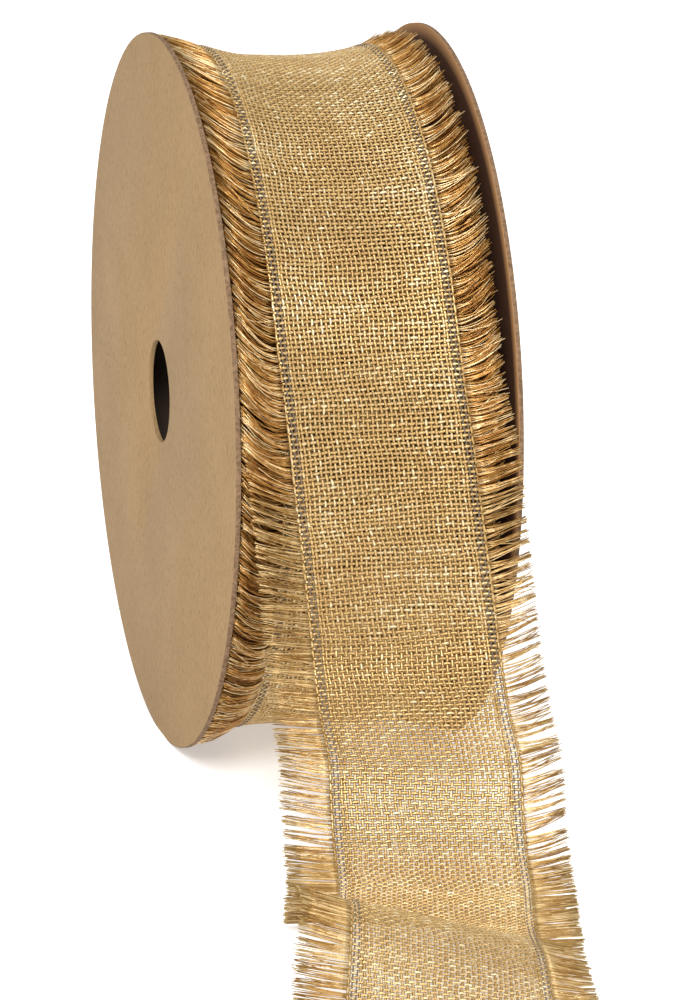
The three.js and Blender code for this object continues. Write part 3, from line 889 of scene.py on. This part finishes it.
def spun(name, profile, steps):
    """A ring spun round the spool's axis from closed (x, radius) points, by Spin in edit mode."""
    mesh = bpy.data.meshes.new(name)
    points = to_model([(x, 0, radius) for x, radius in profile]).tolist()
    mesh.from_pydata(points, [(k, (k + 1) % len(points)) for k in range(len(points))], [])
    ring = bpy.data.objects.new(name, mesh)
    bpy.context.scene.collection.objects.link(ring)
    bpy.ops.object.select_all(action="DESELECT")
    bpy.context.view_layer.objects.active = ring
    ring.select_set(True)
    bpy.ops.object.mode_set(mode="EDIT")
    bpy.ops.mesh.select_all(action="SELECT")
    bpy.ops.mesh.spin(steps=steps, angle=2 * math.pi, center=tuple(SPOOL), axis=(1, 0, 0))
    bpy.ops.mesh.select_all(action="SELECT")
    bpy.ops.mesh.remove_doubles(threshold=MERGE_DISTANCE)
    bpy.ops.mesh.normals_make_consistent(inside=False)
    bpy.ops.object.mode_set(mode="OBJECT")
    mesh.shade_smooth()
    print(name, len(mesh.polygons), "faces")
    return ring


roll_body = spun("roll_body", RING_PROFILE, RING_STEPS)

# %% [markdown]
# The points under the cloth follow its sag, a little deeper, so no thread of the outer turn sinks
# into the ring. A UV map in millimetres, x one way and the length round the roll the other way,
# lets the threads of the material follow the surface.

# %% Sag and UV map of the ring
UNDER_CLOTH = 0.75
INSIDE_RADIUS = 50
CLOTH_FROM, CLOTH_TO = 9.0, 38.6
points = (np.array([vertex.co for vertex in roll_body.data.vertices]) - SPOOL) / MM
turn = np.arctan2(-points[:, 1], points[:, 2])
radius = np.hypot(points[:, 1], points[:, 2])
under_cloth = (radius > INSIDE_RADIUS) & (points[:, 0] > CLOTH_FROM) & (points[:, 0] < CLOTH_TO)
radius = np.where(under_cloth, roll_radius(points[:, 0], turn) - UNDER_CLOTH, radius)
roll_body.data.vertices.foreach_set("co", to_model(around(points[:, 0], radius, turn)).ravel())
uv = roll_body.data.uv_layers.new(name="weave")
corners = np.array([loop.vertex_index for loop in roll_body.data.loops])
uv.data.foreach_set("uv", np.stack([points[corners, 0], turn[corners] * MEAN_RADIUS], -1).ravel())
print("points of the ring that follow the sag:", under_cloth.sum())

# %% [markdown]
# The ring's material draws threads in painted shade: two sets of fine bright lines, one along and one across,
# at nearly the pitch of the weave, over deep brown, which is painted shade of the turns further in. The real
# turns don't line up either. Beside the cloth the ring is painted dark brown, as painted shade under the
# fringe.

# %% Material of the turns underneath
WARP_SPACING, WEFT_SPACING = PITCH * 1.03, PITCH * 0.98
LINE_EDGES = (-0.4, 0.8)
CLOTH_ENDS = (15.4, 16.2)
# painted shade: the dark ground under the fringe
PAINTED_SHADE_UNDER_FRINGE = (0.10, 0.042, 0.010)


def line_pattern(tree, length, spacing):
    """1 at the middle of a thread and 0 between threads, from a length in millimetres."""
    wave = maths(tree, "SINE", maths(tree, "MULTIPLY", length, 2 * math.pi / spacing))
    return stretched(tree, wave, *LINE_EDGES)


inner_turns, tree, shader = new_material("inner_turns", {"Metallic": 0.3, "Roughness": 0.5})
coordinates = tree.nodes.new("ShaderNodeUVMap")
coordinates.uv_map = "weave"
split = tree.nodes.new("ShaderNodeSeparateXYZ")
tree.links.new(coordinates.outputs["UV"], split.inputs["Vector"])
threads = maths(tree, "MAXIMUM", line_pattern(tree, split.outputs["X"], WARP_SPACING),
                line_pattern(tree, split.outputs["Y"], WEFT_SPACING))
# the deep brown between the lines is painted shade of the turns further in
colour = ramp(tree, threads, [(0.0, (0.14, 0.058, 0.014)), (1.0, (0.70, 0.41, 0.14))])
beside = maths(tree, "ABSOLUTE", maths(tree, "SUBTRACT", split.outputs["X"], BOARD + INNER_WIDTH / 2))
turn_colour = mixed(tree, stretched(tree, beside, *CLOTH_ENDS), colour, PAINTED_SHADE_UNDER_FRINGE)
tree.links.new(turn_colour, shader.inputs["Base Color"])
relief(tree, shader, threads, strength=0.6, distance=0.2 * MM)
roll_body.data.materials.append(inner_turns)
print(inner_turns.name, "has", len(tree.nodes), "nodes")

# %% [markdown]
# ## Cardboard spool
# Each flange is a disc of brown kraft board with a punched hole. A cylinder is added at its size,
# the hole is cut with a Boolean, the flat at the bottom is cut with Bisect, and a small Bevel breaks
# the punched edges. The Bevel pushes a few points under the floor, which are put back on it, and it
# leaves a face twice at each end of the flat, where Validate takes the second one away.

# %% Flanges
HOLE_RADIUS = 9.0
DISC_SIDES, HOLE_SIDES = 256, 96
EDGE_BREAK = 0.12
BREAK_ANGLE, SMOOTH_ANGLE = math.radians(50), math.radians(35)


def cylinder(name, centre, radius, depth, sides):
    """A cylinder along the spool's axis, in millimetres."""
    bpy.ops.object.select_all(action="DESELECT")
    bpy.ops.mesh.primitive_cylinder_add(vertices=sides, radius=radius * MM, depth=depth * MM,
                                        location=centre, rotation=(0, math.pi / 2, 0))
    bpy.context.object.name = name
    return bpy.context.object


def flange_piece(name, x):
    """A disc of board whose outer left face is at x."""
    centre = Vector(to_model((x + BOARD / 2, 0, 0)))
    punch = cylinder("punch", centre, HOLE_RADIUS, BOARD * 3, HOLE_SIDES)
    disc = cylinder(name, centre, FLANGE_RADIUS, BOARD, DISC_SIDES)
    bpy.ops.object.transform_apply(location=True, rotation=True, scale=True)
    cut = disc.modifiers.new("hole", "BOOLEAN")
    cut.object, cut.operation, cut.solver = punch, "DIFFERENCE", "EXACT"
    bpy.ops.object.modifier_apply(modifier=cut.name)
    bpy.data.objects.remove(punch)
    bpy.ops.object.mode_set(mode="EDIT")
    bpy.ops.mesh.select_all(action="SELECT")
    bpy.ops.mesh.bisect(plane_co=(0, 0, 0), plane_no=(0, 0, -1), use_fill=True, clear_outer=True)
    bpy.ops.object.mode_set(mode="OBJECT")
    edge = disc.modifiers.new("edge", "BEVEL")
    edge.width, edge.segments = EDGE_BREAK * MM, 2
    edge.limit_method, edge.angle_limit = "ANGLE", BREAK_ANGLE
    bpy.ops.object.modifier_apply(modifier=edge.name)
    for vertex in disc.data.vertices:
        vertex.co.z = max(vertex.co.z, 0)
    disc.data.validate()
    bpy.ops.object.shade_smooth_by_angle(angle=SMOOTH_ANGLE)
    print(name, len(disc.data.polygons), "faces")
    return disc


left_board = flange_piece("left_board", 0.0)
right_board = flange_piece("right_board", BOARD + INNER_WIDTH)

# %% [markdown]
# Between the flanges is a tube of board that the ribbon is wound on. It shows only through the
# punched hole, so a plain spun ring at the CAD solid's size is enough.

# %% Core tube
CORE_WALL = 2.0
CORE_STEPS = 96
core_low, core_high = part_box("core")
core_radius = (core_high.z - core_low.z) / 2 / MM
left_end, right_end = (core_low.x - SPOOL[0]) / MM, (core_high.x - SPOOL[0]) / MM
core_tube = spun("core_tube", [
    (left_end, core_radius - CORE_WALL), (left_end, core_radius),
    (right_end, core_radius), (right_end, core_radius - CORE_WALL),
], CORE_STEPS)
bpy.ops.object.shade_smooth_by_angle(angle=SMOOTH_ANGLE)

# %% [markdown]
# ## Kraft board
# Board is never one flat brown: it has long pale fibres, dark flecks and slow cloudy patches. Three noises
# make these and are multiplied, and a Mapping node draws out the one for the fibres. The cut rim is darker,
# with flecks.
# The inner face of the right flange lies in deep shade behind the fringe, and light reaches it only
# near its rim. Soft studio light can't shade it that much, so it gets a darker brown, and so does
# the core tube.

# %% Patterns of the board
kraft, tree, shader = new_material("kraft_board", {"Roughness": 0.85, "Specular IOR Level": 0.25})
coordinates = tree.nodes.new("ShaderNodeTexCoord").outputs["Object"]
drawn_out = tree.nodes.new("ShaderNodeMapping")
drawn_out.inputs["Scale"].default_value = (1, 1, 0.45)
tree.links.new(coordinates, drawn_out.inputs["Vector"])
cloud = noise(tree, coordinates, scale=60, detail=3.0)
fleck = noise(tree, coordinates, scale=1600, detail=2.0)
fibre = noise(tree, drawn_out.outputs["Vector"], scale=1500, detail=3.0)
face_colour = ramp(tree, cloud, [(0.3, (0.311, 0.198, 0.091)), (0.7, (0.344, 0.222, 0.104))])
fibres = ramp(tree, fibre, [(0.35, (0.90, 0.89, 0.88)), (0.65, (1.06, 1.06, 1.07))])
flecks = ramp(tree, fleck, [(0.28, (0.72, 0.66, 0.6)), (0.40, (1, 1, 1))])
face_colour = mixed(tree, 1.0, mixed(tree, 1.0, face_colour, fibres, "MULTIPLY"), flecks, "MULTIPLY")
rim_colour = ramp(tree, fleck, [(0.3, (0.12, 0.07, 0.037)), (0.7, (0.26, 0.16, 0.09))])
relief(tree, shader, fibre, strength=0.35, distance=0.1 * MM)
print("patterns of the board:", len(tree.nodes), "nodes")

# %% [markdown]
# The distance to the axis tells where the rim is, and x tells where the inner face is.

# %% Places of the board's colours
RIM = (FLANGE_RADIUS - 0.16, FLANGE_RADIUS - 0.08)
INNER_FACE = BOARD + INNER_WIDTH
FACE_TOLERANCE = 0.05
SHADE = (59.8, 62.6)
DEEP_SHADE, NEAR_RIM = (0.052, 0.020, 0.008), (0.42, 0.22, 0.09)
CORE_SHADE = (0.05, 0.03, 0.018, 1)

from_spool = maths(tree, "SUBTRACT", coordinates, tuple(SPOOL), vectors=True)
across_axis = maths(tree, "MULTIPLY", from_spool, (0, 1, 1), vectors=True)
distance = maths(tree, "LENGTH", across_axis, vectors=True)
at_rim = stretched(tree, distance, RIM[0] * MM, RIM[1] * MM)
place = tree.nodes.new("ShaderNodeSeparateXYZ")
tree.links.new(from_spool, place.inputs["Vector"])
on_inner_face = maths(tree, "COMPARE", place.outputs["X"], INNER_FACE * MM, FACE_TOLERANCE * MM)
lit = stretched(tree, distance, SHADE[0] * MM, SHADE[1] * MM)
board_colour = mixed(tree, at_rim, face_colour, rim_colour)
board_colour = mixed(tree, on_inner_face, board_colour, mixed(tree, lit, DEEP_SHADE, NEAR_RIM))
tree.links.new(board_colour, shader.inputs["Base Color"])
for board in (left_board, right_board):
    board.data.materials.append(kraft)
core_board, _, _ = new_material("core_board", {"Base Color": CORE_SHADE, "Roughness": 0.9})
core_tube.data.materials.append(core_board)
print("board colour from", len(tree.nodes), "nodes")

# %% [markdown]
# ## What stands for what
# Each new piece rides on the model's one body and takes the place of the CAD solid that it dresses.
# The woven pieces are sheets of cloth.

# %% Ride and replace
weaves = [loose_weave, front_weave, back_weave]
for piece in [*weaves, loose_wires, roll_wires, *loose_fringes, *roll_fringes, roll_body, left_board,
              right_board, core_tube]:
    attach(piece, "root")
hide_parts("flange_left")
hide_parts("flange_right")
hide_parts("core")
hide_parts("ribbon_roll")
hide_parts("ribbon_tail")
for piece, side in zip(loose_fringes, ("left", "right")):
    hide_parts(f"hanging_fringe_{side}", f"lying_fringe_{side}")
for piece, side in zip(roll_fringes, ("left", "right")):
    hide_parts(f"roll_fringe_{side}")
